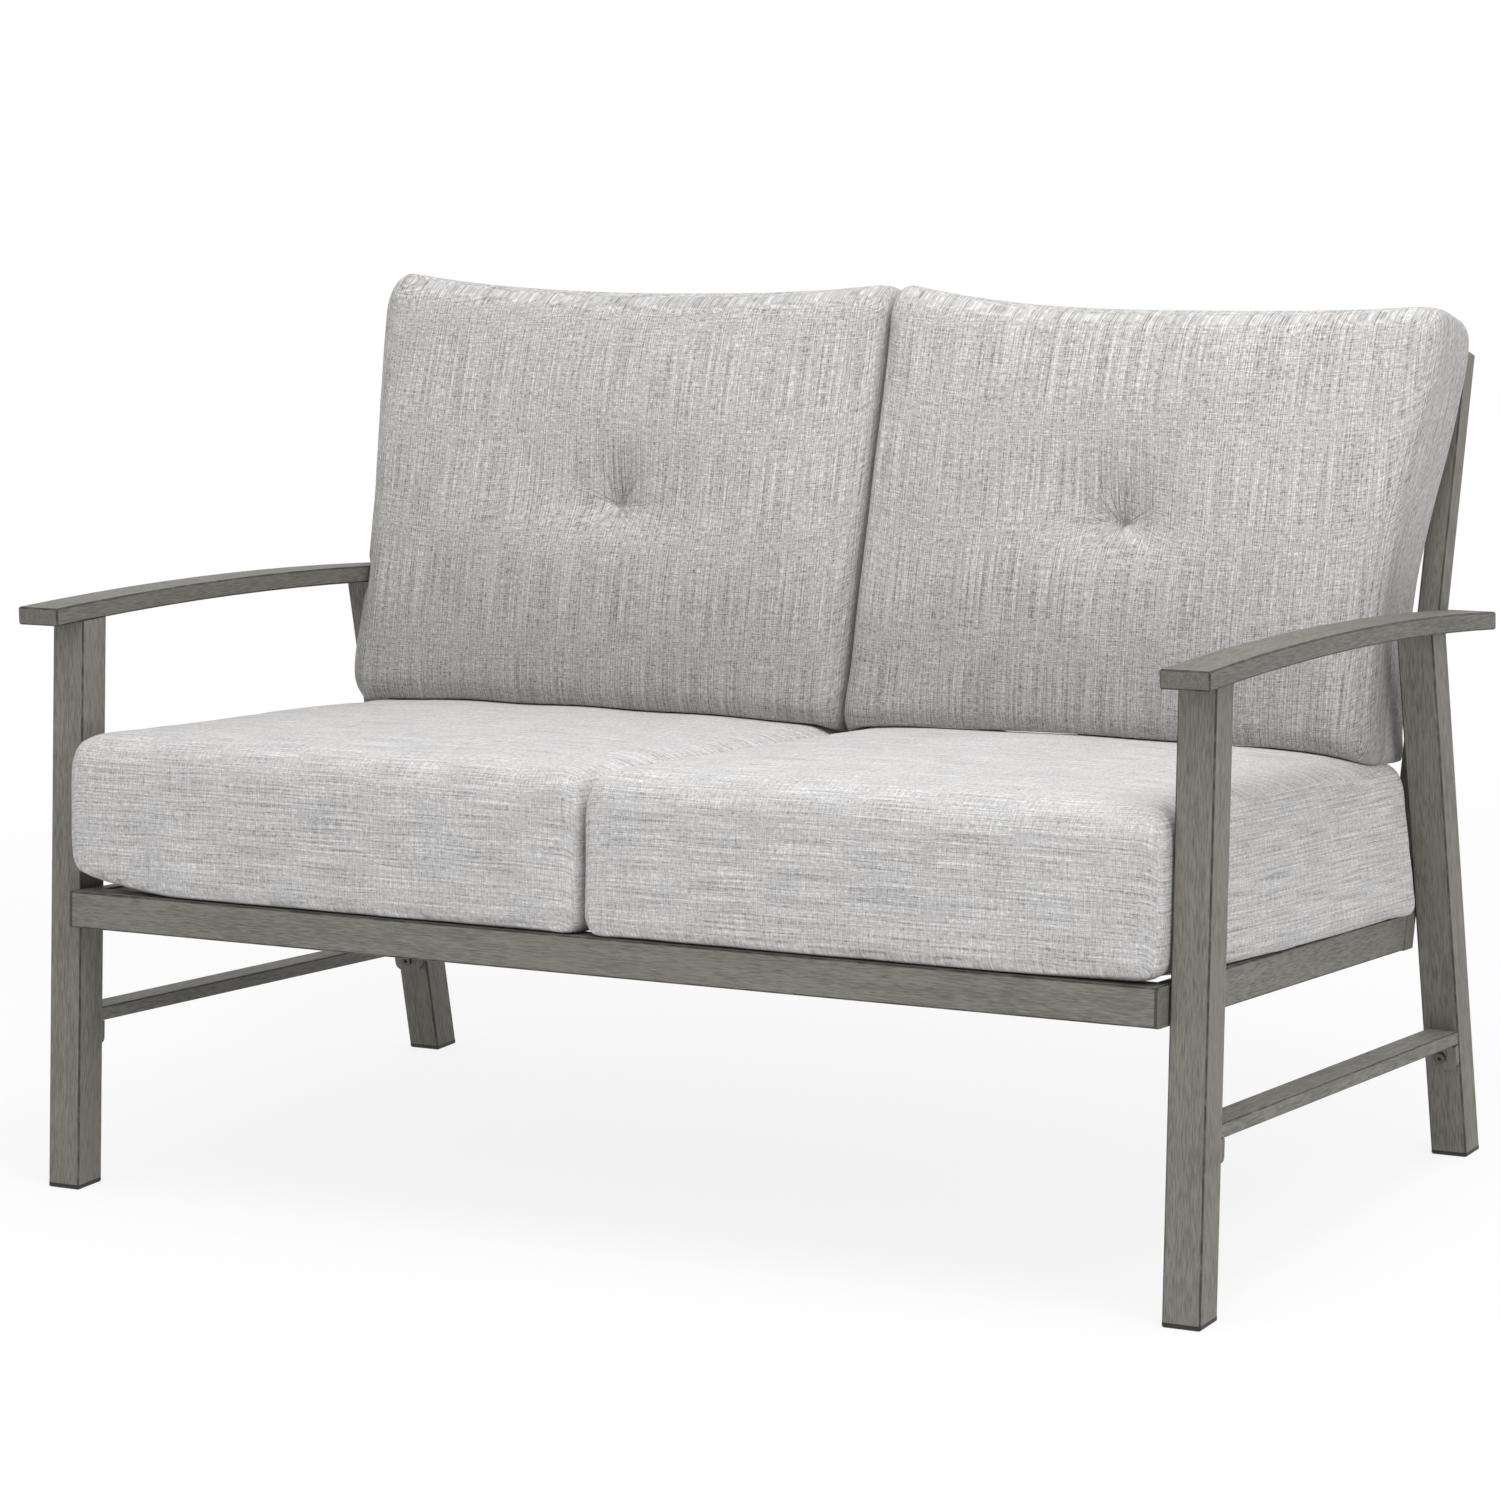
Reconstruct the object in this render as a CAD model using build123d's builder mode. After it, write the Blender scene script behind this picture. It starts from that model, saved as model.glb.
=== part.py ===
"""Patio loveseat: two side frames carry a tilted seat frame and a leaning back frame,
with two loose seat cushions and two loose tufted back cushions."""
import os
from math import atan2, cos, pi, radians, sin, tan

from build123d import *

# Bay width between the legs, and the clearances
bay_width = 1260.0
frame_clearance = 1.5
hole_clearance = 0.2
cushion_clearance = 0.4
overrun = 20.0

# Legs and their glides
leg_width = 40.0
front_leg_depth = 42.0
back_leg_depth = 41.0
leg_wall = 2.0
leg_corner = 3.0
front_lean = 5.05
back_splay = 9.85
back_foot_y = 717.0
glide_height = 5.0
glide_plug = 14.0
glide_bevel = 1.2
glide_corner_share = 0.6
plug_gap = 0.3

# Armrests
arm_width = 51.5
arm_thickness = 19.0
arm_inner_gap = 0.5
arm_front_y = 9.5
arm_rear_inset = 1.7
arm_front_top = 626.0
arm_rear_top = 582.0
arm_rise = 11.0
arm_bevel = 1.8

# Lower stretchers with their bolted tabs
stretcher_width = 35.0
stretcher_height = 15.0
stretcher_corner = 2.0
stretcher_wall = 1.6
stretcher_slope = 4.0
stretcher_top = 191.5
tab_thickness = 8.0
tab_drop = 26.0
tab_corner = 8.0
tab_inset = 1.0

# Seat frame
seat_slope = 4.4
rail_top = 325.0
rail_front_y = 6.0
rail_height = 39.0
front_rail_depth = 40.0
side_rail_width = 20.0
back_rail_depth = 25.0
rail_wall = 2.0
rail_corner = 3.0
rail_cap = 2.0
slat_count = 10
slat_width = 38.0
slat_thickness = 10.0
slat_corner = 2.0

# Back frame
back_lean = 17.26
post_width = 25.0
post_depth = 29.0
post_front_y = 740.0
post_front_z = 560.0
post_top = 854.0
post_end = 3.0
top_rail_height = 30.0
low_rail_rise = 95.0
low_rail_height = 25.0
back_slat_count = 9
back_slat_width = 32.0
back_slat_thickness = 8.0

# Fasteners
bolt_diameter = 6.0
bolt_head_diameter = 12.0
bolt_head_height = 4.0
hex_across = 4.0
hex_depth = 2.4
bolt_bite = 8.0
washer_diameter = 14.0
washer_sides = 12
front_bolt_back = 12.0

# Seat cushions
seat_thickness = 168.0
seat_crown = 8.0
seat_edge = 36.0
seat_bottom_edge = 14.0
seat_front_y = 4.0
seat_rear_gap = 2.7
seat_draw = 3.0
seat_bulge = 3.0

# Back cushions
pad_foot_z = 398.5
pad_height = 503.0
pad_thickness = 156.0
pad_crown = 10.0
pad_back_crown = 4.0
pad_edge = 36.0
pad_back_edge = 24.0
pad_draw = 4.0
pad_bulge = 5.0
pad_top_flare = 12.0
pad_top_sag = 9.0
tuft_height = 246.0
tuft_radius = 92.0
tuft_depth = 26.0
tuft_reach_shares = (0.0, 0.2, 0.52, 1.0)
tuft_fall_shares = (1.0, 0.62, 0.24, 0.0)

# Shares for the rounded ends of a cushion: quarter-circle steps, and even steps between them
end_angle_shares = (0.0, 0.5, 1.0)
middle_shares = (0.3, 0.7)
end_swell_share = 0.25

# Worked out from the sizes above
inner_x = bay_width / 2
outer_x = inner_x + leg_width
bay_x = inner_x - frame_clearance
sides = {"l": -1, "r": 1}
deck_angle = radians(seat_slope)
back_angle = radians(back_lean)
lean_run = tan(radians(front_lean))
splay_run = tan(radians(back_splay))
back_run = tan(radians(back_lean))
seat_fall = tan(radians(seat_slope))
stretcher_fall = tan(radians(stretcher_slope))

# Depth from the front feet to the posts' rear top edge: y runs to the back from its middle
depth = post_front_y + back_run * (post_top - post_front_z) + post_depth * cos(back_angle)
front_y = -depth / 2


def front_leg_y(z):
    """Front face of a front leg at height z."""
    return front_y + lean_run * z


def front_leg_rear(z):
    """Rear face of a front leg at height z."""
    return front_leg_y(z) + front_leg_depth


def back_leg_y(z):
    """Front face of a back leg at height z."""
    return front_y + back_foot_y - splay_run * z


def back_leg_rear(z):
    """Rear face of a back leg at height z."""
    return back_leg_y(z) + back_leg_depth


def post_y(z):
    """Front face of the back posts at height z."""
    return front_y + post_front_y + back_run * (z - post_front_z)


def post_rear(z):
    """Rear face of the back posts at height z."""
    return post_y(z) + post_depth / cos(radians(back_lean))


def post_middle(z):
    """Middle of the back posts' depth at height z."""
    return (post_y(z) + post_rear(z)) / 2


def deck_z(y):
    """Top of the seat frame at depth y."""
    return rail_top - seat_fall * (y - front_y - rail_front_y)


def deck_under(y):
    """Underside of the seat frame's rails at depth y."""
    return deck_z(y) - rail_height / cos(radians(seat_slope))


def stretcher_z(y):
    """Top of the lower stretchers at depth y."""
    return stretcher_top - stretcher_fall * (y - front_y)


def stretcher_under(y):
    """Underside of the lower stretchers at depth y."""
    return stretcher_z(y) - stretcher_height


def crossing(face, level):
    """Side view point where a leaning face meets a level that slopes or curves."""
    z = level(0)
    for _ in range(12):
        z = level(face(z))
    return (face(z), z)


def deck_point(run, rise):
    """Side view point at a run back along the seat frame and a rise above its top."""
    return (
        front_y + rail_front_y + run * cos(deck_angle) + rise * sin(deck_angle),
        rail_top - run * sin(deck_angle) + rise * cos(deck_angle),
    )


def back_point(rise, inward):
    """Side view point at a rise along the back posts from their top, and inward from their front."""
    return (
        post_y(post_top) + rise * sin(back_angle) + inward * cos(back_angle),
        post_top + rise * cos(back_angle) - inward * sin(back_angle),
    )


def side_plane(x):
    """Side view plane at x: its first axis is the depth y and its second the height z."""
    return Plane(origin=(x, 0, 0), x_dir=(0, 1, 0), z_dir=(1, 0, 0))


def export(part, name):
    """Labels a finished piece and writes its file."""
    part.label = name
    export_step(part, f"parts/{name}.step")


def leaning(face, rear, bottom, top):
    """Side view of a leg or post between two leaning faces, cut at two levels."""
    return [crossing(face, bottom), crossing(rear, bottom), crossing(rear, top), crossing(face, top)]


def member(name, x_start, width, outline, corner, bore=None, wall=0.0, holes=()):
    """A straight tube: its side view is extruded across x, its four long edges are rounded,
    and the bore's side view and the bolt holes are cut out of it."""
    with BuildPart() as piece:
        with BuildSketch(side_plane(x_start)):
            with BuildLine():
                Polyline(*outline, close=True)
            make_face()
        extrude(amount=width)
        long_edges = piece.edges().filter_by(GeomType.LINE).sort_by(SortBy.LENGTH)[-4:]
        fillet(long_edges, corner)
        if bore:
            with BuildSketch(side_plane(x_start + wall)):
                with BuildLine():
                    Polyline(*bore, close=True)
                make_face()
            extrude(amount=width - 2 * wall, mode=Mode.SUBTRACT)
        for hole_plane in holes:
            with BuildSketch(hole_plane):
                Circle(bolt_diameter / 2 + hole_clearance)
            extrude(amount=bolt_bite, both=True, mode=Mode.SUBTRACT)
    export(piece.part, name)


def bolts(name, planes, grip):
    """Identical socket-head bolts, as a group: each plane lies under a head, facing off its shank."""
    with BuildPart() as group:
        for plane in planes:
            with BuildSketch(plane):
                Circle(bolt_head_diameter / 2)
            extrude(amount=bolt_head_height)
            with BuildSketch(plane):
                Circle(bolt_diameter / 2)
            extrude(amount=-grip - bolt_bite + hole_clearance)
            with BuildSketch(plane.offset(bolt_head_height)):
                RegularPolygon(hex_across / 2, 6, major_radius=False)
            extrude(amount=-hex_depth, mode=Mode.SUBTRACT)
    export(group.part, name)


def washers(name, planes, thickness):
    """Identical spacer washers, as a group, each lying on a plane, with faceted rims."""
    with BuildPart() as group:
        for plane in planes:
            with BuildSketch(plane):
                RegularPolygon(washer_diameter / 2, washer_sides)
                RegularPolygon(
                    bolt_diameter / 2 + hole_clearance, washer_sides, major_radius=False, mode=Mode.SUBTRACT
                )
            extrude(amount=thickness)
    export(group.part, name)


os.makedirs("parts", exist_ok=True)

# Armrest curve: one arc from before the front leg to the posts' rear face, raised between its ends
arm_y0 = front_y + arm_front_y
arm_y1 = post_rear(arm_rear_top) - arm_rear_inset
arm_length = arm_y1 - arm_y0
arm_chord_angle = atan2(arm_rear_top - arm_front_top, arm_length)
arm_half_chord = arm_length / 2 / cos(arm_chord_angle)
arm_radius = (arm_half_chord**2 + arm_rise**2) / (2 * arm_rise)
arm_centre_y = (arm_y0 + arm_y1) / 2 - (arm_rise - arm_radius) * sin(arm_chord_angle)
arm_centre_z = (arm_front_top + arm_rear_top) / 2 + (arm_rise - arm_radius) * cos(arm_chord_angle)


def arm_z(y, drop):
    """Height of the armrest's curve at depth y, at a drop below its top face."""
    return arm_centre_z + ((arm_radius - drop) ** 2 - (y - arm_centre_y) ** 2) ** 0.5


def arm_under(y):
    """Underside of the armrests at depth y."""
    return arm_z(y, arm_thickness)


# Bolt points in the side view
front_bolt_point = deck_point(front_rail_depth + front_bolt_back, -rail_height / 2)
leg_middle_foot = front_y + back_foot_y + back_leg_depth / 2
post_bolt_z = (leg_middle_foot - post_middle(0)) / (splay_run + back_run)
post_bolt_point = (post_middle(post_bolt_z), post_bolt_z)
arm_bolt_point = crossing(post_middle, lambda y: arm_z(y, arm_thickness / 2))


def bolt_plane(x, point, facing):
    """Plane across x at a side view point, with its normal facing along x."""
    return Plane(origin=(x, point[0], point[1]), x_dir=(0, 1, 0), z_dir=(facing, 0, 0))


# Armrests
arm_middle = (arm_y0 + arm_y1) / 2
for side, sign in sides.items():
    arm_start = min(sign * (inner_x + arm_inner_gap), sign * (inner_x + arm_inner_gap + arm_width))
    with BuildPart() as arm:
        with BuildSketch(side_plane(arm_start)):
            with BuildLine():
                top = [(y, arm_z(y, 0)) for y in (arm_y0, arm_middle, arm_y1)]
                under = [(y, arm_under(y)) for y in (arm_y1, arm_middle, arm_y0)]
                ThreePointArc(*top)
                Line(top[-1], under[0])
                ThreePointArc(*under)
                Line(under[-1], top[0])
            make_face()
        extrude(amount=arm_width)
        chamfer(arm.edges(), arm_bevel)
        with BuildSketch(side_plane(sign * (inner_x + arm_inner_gap))):
            with Locations(arm_bolt_point):
                Circle(bolt_diameter / 2 + hole_clearance)
        extrude(amount=sign * bolt_bite, mode=Mode.SUBTRACT)
    export(arm.part, f"arm_{side}")


# Legs: open tubes from the glides up to the armrest's underside
front_outline = leaning(front_leg_y, front_leg_rear, lambda y: glide_height, arm_under)
back_outline = leaning(back_leg_y, back_leg_rear, lambda y: glide_height, arm_under)
front_bore = leaning(
    lambda z: front_leg_y(z) + leg_wall, lambda z: front_leg_rear(z) - leg_wall,
    lambda y: glide_height - overrun, lambda y: arm_under(y) + overrun,
)
back_bore = leaning(
    lambda z: back_leg_y(z) + leg_wall, lambda z: back_leg_rear(z) - leg_wall,
    lambda y: glide_height - overrun, lambda y: arm_under(y) + overrun,
)
# Tab planes: on the leg's face at the stretcher's underside, facing away from the leg
front_tab_point = crossing(front_leg_rear, stretcher_under)
back_tab_point = crossing(back_leg_y, stretcher_under)
front_tab_normal = (0, cos(radians(front_lean)), -sin(radians(front_lean)))
back_tab_normal = (0, -cos(radians(back_splay)), -sin(radians(back_splay)))
stretcher_middle = outer_x - tab_inset - stretcher_width / 2
tab_bolt_planes = []
for side, sign in sides.items():
    leg_start = min(sign * inner_x, sign * outer_x)
    tab_x = sign * stretcher_middle
    tabs = {
        "front": Plane(origin=(tab_x, *front_tab_point), x_dir=(-1, 0, 0), z_dir=front_tab_normal),
        "back": Plane(origin=(tab_x, *back_tab_point), x_dir=(1, 0, 0), z_dir=back_tab_normal),
    }
    tab_bolts = {
        end: Plane(
            origin=plane.from_local_coords((0, -tab_drop / 2, tab_thickness)),
            x_dir=plane.x_dir, z_dir=plane.z_dir,
        )
        for end, plane in tabs.items()
    }
    front_holes = [
        tab_bolts["front"].offset(-tab_thickness), bolt_plane(sign * inner_x, front_bolt_point, sign)
    ]
    back_holes = [
        tab_bolts["back"].offset(-tab_thickness), bolt_plane(sign * inner_x, post_bolt_point, sign)
    ]
    member(
        f"front_leg_{side}", leg_start, leg_width, front_outline, leg_corner, front_bore, leg_wall,
        front_holes,
    )
    member(
        f"back_leg_{side}", leg_start, leg_width, back_outline, leg_corner, back_bore, leg_wall,
        back_holes,
    )

    # Glides: a foot pad under each leg with a plug inside the tube
    plug_inset = leg_wall + plug_gap
    feet = {"front": (front_leg_y, front_leg_rear), "back": (back_leg_y, back_leg_rear)}
    for end, (face, rear) in feet.items():
        pad_view = leaning(face, rear, lambda y: 0, lambda y: glide_height)
        plug_view = leaning(
            lambda z: face(z) + plug_inset, lambda z: rear(z) - plug_inset,
            lambda y: glide_height, lambda y: glide_height + glide_plug,
        )
        with BuildPart() as glide:
            with BuildSketch(side_plane(leg_start)):
                with BuildLine():
                    Polyline(*pad_view, close=True)
                make_face()
            extrude(amount=leg_width)
            uprights = glide.edges().filter_by(Axis.X, reverse=True).sort_by(SortBy.LENGTH)[:4]
            chamfer(uprights, leg_corner * glide_corner_share)
            chamfer(glide.faces().sort_by(Axis.Z)[0].edges(), glide_bevel)
            with BuildSketch(side_plane(leg_start + plug_inset)):
                with BuildLine():
                    Polyline(*plug_view, close=True)
                make_face()
            extrude(amount=leg_width - 2 * plug_inset)
        export(glide.part, f"{end}_glide_{side}")

    # Lower stretcher between the legs, and its tabs bolted to them
    stretcher_view = [
        crossing(front_leg_rear, stretcher_z), front_tab_point,
        back_tab_point, crossing(back_leg_y, stretcher_z),
    ]
    stretcher_bore = [
        crossing(lambda z: front_leg_rear(z) - overrun, lambda y: stretcher_z(y) - stretcher_wall),
        crossing(lambda z: front_leg_rear(z) - overrun, lambda y: stretcher_under(y) + stretcher_wall),
        crossing(lambda z: back_leg_y(z) + overrun, lambda y: stretcher_under(y) + stretcher_wall),
        crossing(lambda z: back_leg_y(z) + overrun, lambda y: stretcher_z(y) - stretcher_wall),
    ]
    member(
        f"stretcher_{side}", tab_x - stretcher_width / 2, stretcher_width, stretcher_view,
        stretcher_corner, stretcher_bore, stretcher_wall,
    )
    for end, plane in tabs.items():
        with BuildPart() as tab:
            with BuildSketch(plane) as tab_face:
                with Locations((0, -tab_drop / 2)):
                    Rectangle(stretcher_width, tab_drop)
                fillet(tab_face.vertices().sort_by(lambda v: plane.to_local_coords(v).Y)[:2], tab_corner)
                with Locations((0, -tab_drop / 2)):
                    Circle(bolt_diameter / 2 + hole_clearance, mode=Mode.SUBTRACT)
            extrude(amount=tab_thickness)
        export(tab.part, f"{end}_tab_{side}")
    tab_bolt_planes.extend(tab_bolts.values())

bolts("tab_bolts", tab_bolt_planes, tab_thickness)

# Seat frame: front rail across both side rails, back rail between the posts
seat_run = (crossing(post_y, deck_z)[0] - front_y - rail_front_y) / cos(deck_angle)


def deck_box(run_start, run_end, rise_low, rise_high):
    """Side view of a piece of the seat frame, square to it."""
    return [
        deck_point(run_start, rise_high), deck_point(run_start, rise_low),
        deck_point(run_end, rise_low), deck_point(run_end, rise_high),
    ]


front_rail_view = deck_box(0, front_rail_depth, -rail_height, 0)
front_rail_bore = deck_box(rail_wall, front_rail_depth - rail_wall, rail_wall - rail_height, -rail_wall)
back_rail_view = deck_box(seat_run, seat_run + back_rail_depth, -rail_height, 0)
back_rail_bore = deck_box(
    seat_run + rail_wall, seat_run + back_rail_depth - rail_wall, rail_wall - rail_height, -rail_wall
)


def cross_tube(name, half_length, view, bore, corner):
    """A tube that runs across the whole bay, rounded along its length and open at its ends."""
    with BuildPart() as rail:
        with BuildSketch(side_plane(-half_length)):
            with BuildLine():
                Polyline(*view, close=True)
            make_face()
            fillet(vertices(), corner)
            with BuildLine():
                Polyline(*bore, close=True)
            make_face(mode=Mode.SUBTRACT)
        extrude(amount=2 * half_length)
    export(rail.part, name)


cross_tube("front_rail", bay_x - rail_cap, front_rail_view, front_rail_bore, rail_corner)
cross_tube("back_rail", bay_x - post_width, back_rail_view, back_rail_bore, rail_corner)
for side, sign in sides.items():
    with BuildPart() as cap:
        with BuildSketch(side_plane(sign * (bay_x - rail_cap))):
            with BuildLine():
                Polyline(*front_rail_view, close=True)
            make_face()
            fillet(vertices(), rail_corner)
        extrude(amount=sign * rail_cap)
    export(cap.part, f"front_rail_cap_{side}")

    # Side rail from the front rail to the post
    rail_outline = [
        deck_point(front_rail_depth, 0), deck_point(front_rail_depth, -rail_height),
        crossing(post_y, deck_under), crossing(post_y, deck_z),
    ]
    rail_bore = [
        deck_point(front_rail_depth - overrun, -rail_wall),
        deck_point(front_rail_depth - overrun, rail_wall - rail_height),
        crossing(lambda z: post_y(z) + overrun, lambda y: deck_under(y) + rail_wall),
        crossing(lambda z: post_y(z) + overrun, lambda y: deck_z(y) - rail_wall),
    ]
    rail_start = min(sign * bay_x, sign * (bay_x - side_rail_width))
    rail_inner = sign * (bay_x - side_rail_width)
    rail_holes = [
        bolt_plane(rail_inner, front_bolt_point, sign), bolt_plane(sign * bay_x, front_bolt_point, sign)
    ]
    member(
        f"side_rail_{side}", rail_start, side_rail_width, rail_outline, rail_corner, rail_bore, rail_wall,
        rail_holes,
    )

    # Back post, closed at its top, with its bolts into the back leg and the armrest
    post_outline = [
        crossing(post_y, deck_under), crossing(post_rear, deck_under),
        back_point(0, post_depth), back_point(0, 0),
    ]
    post_bore = [
        crossing(lambda z: post_y(z) + leg_wall, lambda y: deck_under(y) - overrun),
        crossing(lambda z: post_rear(z) - leg_wall, lambda y: deck_under(y) - overrun),
        back_point(-post_end, post_depth - leg_wall), back_point(-post_end, leg_wall),
    ]
    post_inner = sign * (bay_x - post_width)
    post_holes = [
        bolt_plane(x, point, sign)
        for x in (post_inner, sign * bay_x)
        for point in (post_bolt_point, arm_bolt_point)
    ]
    member(
        f"back_post_{side}", min(sign * bay_x, post_inner), post_width, post_outline, rail_corner,
        post_bore, leg_wall, post_holes,
    )

# Bolts from the seat and back frames into the side frames, with washers in the gap between them
arm_gap = frame_clearance + arm_inner_gap
frame_bolts = {
    "rail": (front_bolt_point, side_rail_width, frame_clearance),
    "post": (post_bolt_point, post_width, frame_clearance),
    "arm": (arm_bolt_point, post_width, arm_gap),
}
for name, (point, tube_width, gap) in frame_bolts.items():
    heads = [bolt_plane(sign * (bay_x - tube_width), point, -sign) for sign in sides.values()]
    seats = [bolt_plane(sign * bay_x, point, sign) for sign in sides.values()]
    bolts(f"{name}_bolts", heads, tube_width + gap)
    washers(f"{name}_washers", seats, gap)

# Centre beam and the flat slats that carry the seat cushions
beam_view = deck_box(front_rail_depth, seat_run, -rail_height, 0)
beam_bore = deck_box(front_rail_depth - overrun, seat_run + overrun, rail_wall - rail_height, -rail_wall)
member("centre_beam", -side_rail_width / 2, side_rail_width, beam_view, slat_corner, beam_bore, rail_wall)
slats_per_side = slat_count // 2
slat_room = bay_x - side_rail_width - side_rail_width / 2
slat_gap = (slat_room - slats_per_side * slat_width) / (slats_per_side + 1)
slat_view = deck_box(front_rail_depth, seat_run, -slat_thickness, 0)
with BuildPart() as seat_slats:
    for sign in sides.values():
        for index in range(slats_per_side):
            slat_x = side_rail_width / 2 + slat_gap + index * (slat_width + slat_gap)
            with BuildSketch(side_plane(sign * slat_x)):
                with BuildLine():
                    Polyline(*slat_view, close=True)
                make_face()
            extrude(amount=sign * slat_width)
    straight_edges = seat_slats.edges().filter_by(GeomType.LINE)
    chamfer(straight_edges.sort_by(SortBy.LENGTH)[-4 * slat_count:], slat_corner)
export(seat_slats.part, "seat_slats")

# Back frame: top rail and low rail between the posts, with flat upright slats
low_rail_z = deck_z(post_y(rail_top)) + low_rail_rise
low_rail_drop = (post_top - low_rail_z) / cos(back_angle)


def back_box(rise_low, rise_high, front, rear):
    """Side view of a piece of the back frame, square to it."""
    return [
        back_point(rise_high, front), back_point(rise_low, front),
        back_point(rise_low, rear), back_point(rise_high, rear),
    ]


back_half = bay_x - post_width
cross_tube(
    "back_top_rail", back_half, back_box(-top_rail_height, 0, 0, post_depth),
    back_box(rail_wall - top_rail_height, -rail_wall, rail_wall, post_depth - rail_wall), rail_corner,
)
cross_tube(
    "back_low_rail", back_half, back_box(-low_rail_drop, low_rail_height - low_rail_drop, 0, post_depth),
    back_box(
        rail_wall - low_rail_drop, low_rail_height - rail_wall - low_rail_drop,
        rail_wall, post_depth - rail_wall,
    ),
    rail_corner,
)
back_slat_view = back_box(low_rail_height - low_rail_drop, -top_rail_height, 0, back_slat_thickness)
back_slat_pitch = 2 * back_half / (back_slat_count + 1)
with BuildPart() as back_slats:
    for index in range(back_slat_count):
        slat_start = -back_half + (index + 1) * back_slat_pitch - back_slat_width / 2
        with BuildSketch(side_plane(slat_start)):
            with BuildLine():
                Polyline(*back_slat_view, close=True)
            make_face()
        extrude(amount=back_slat_width)
    straight_edges = back_slats.edges().filter_by(GeomType.LINE)
    chamfer(straight_edges.sort_by(SortBy.LENGTH)[-4 * back_slat_count:], slat_corner)
export(back_slats.part, "back_slats")


def cushion_stations(length, edge):
    """Distances along a cushion with its inset there: quarter circles at both ends, even between them."""
    angles = [share * pi / 2 for share in end_angle_shares]
    ends = [(edge * (1 - cos(angle)), edge * (1 - sin(angle))) for angle in angles]
    middle = [(edge + share * (length - 2 * edge), 0) for share in middle_shares]
    return ends + middle + [(length - distance, inset) for distance, inset in reversed(ends)]


def round_arc(start, end, centre):
    """Quarter of a rounded corner from start to end about a centre."""
    middle = (Vector(*start) + Vector(*end)) / 2 - Vector(*centre)
    reach = (Vector(*start) - Vector(*centre)).length
    return ThreePointArc(start, Vector(*centre) + middle.normalized() * reach, end)


def cushion_outline(half_width, base, top, corner, base_corner, crown, base_crown, bulge):
    """Cross-section of a cushion: crowned faces, bulging sides, rounded front and bevelled base corners."""
    right, left = half_width, -half_width
    low, high = base + base_corner, top - corner
    ThreePointArc((left + corner, top), (0, top + crown), (right - corner, top))
    round_arc((right - corner, top), (right, high), (right - corner, high))
    ThreePointArc((right, high), (right + bulge, (low + high) / 2), (right, low))
    Line((right, low), (right - base_corner, base))
    if base_crown:
        ThreePointArc((right - base_corner, base), (0, base - base_crown), (left + base_corner, base))
    else:
        Line((right - base_corner, base), (left + base_corner, base))
    Line((left + base_corner, base), (left, low))
    ThreePointArc((left, low), (left - bulge, (low + high) / 2), (left, high))
    round_arc((left, high), (left + corner, top), (left + corner, high))


def cushion_swell(distance, length):
    """How full a cushion is at a distance along it: least at its ends, and 1 at its middle."""
    return 1 - (1 - end_swell_share) * (2 * distance / length - 1) ** 2


# Seat cushions: side by side on the slats, from the front rail to the posts
seat_up = Vector(0, sin(deck_angle), cos(deck_angle))
seat_back = Vector(0, cos(deck_angle), -sin(deck_angle))
cushion_room = inner_x - 2 * cushion_clearance
cushion_x = cushion_clearance + cushion_room / 2
rear_rise = seat_bottom_edge + cushion_clearance
rear_run = seat_run + rear_rise * tan(back_angle - deck_angle) - seat_rear_gap
seat_length = rear_run + rail_front_y - seat_front_y
seat_origin = deck_point(seat_front_y - rail_front_y, cushion_clearance)
for side, sign in sides.items():
    with BuildPart() as seat_cushion:
        for distance, inset in cushion_stations(seat_length, seat_edge):
            swell = cushion_swell(distance, seat_length)
            place = Vector(sign * cushion_x, *seat_origin) + seat_back * distance
            with BuildSketch(Plane(origin=place, x_dir=(-1, 0, 0), z_dir=seat_back)):
                with BuildLine():
                    cushion_outline(
                        cushion_room / 2 - seat_bulge - inset - seat_draw * swell,
                        inset * seat_bottom_edge / seat_edge, seat_thickness - inset,
                        seat_edge, seat_bottom_edge,
                        seat_crown * swell, 0, seat_bulge,
                    )
                make_face()
        loft(ruled=True)
    export(seat_cushion.part, f"seat_cushion_{side}")

# Back cushions: they lean on the posts and slats, and rest on the seat cushions
pad_up = Vector(0, sin(back_angle), cos(back_angle))
pad_out = Vector(0, -cos(back_angle), sin(back_angle))
pad_foot = Vector(0, post_y(pad_foot_z), pad_foot_z) + pad_out * (pad_back_crown + cushion_clearance)
pad_front = pad_thickness + pad_crown

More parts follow.
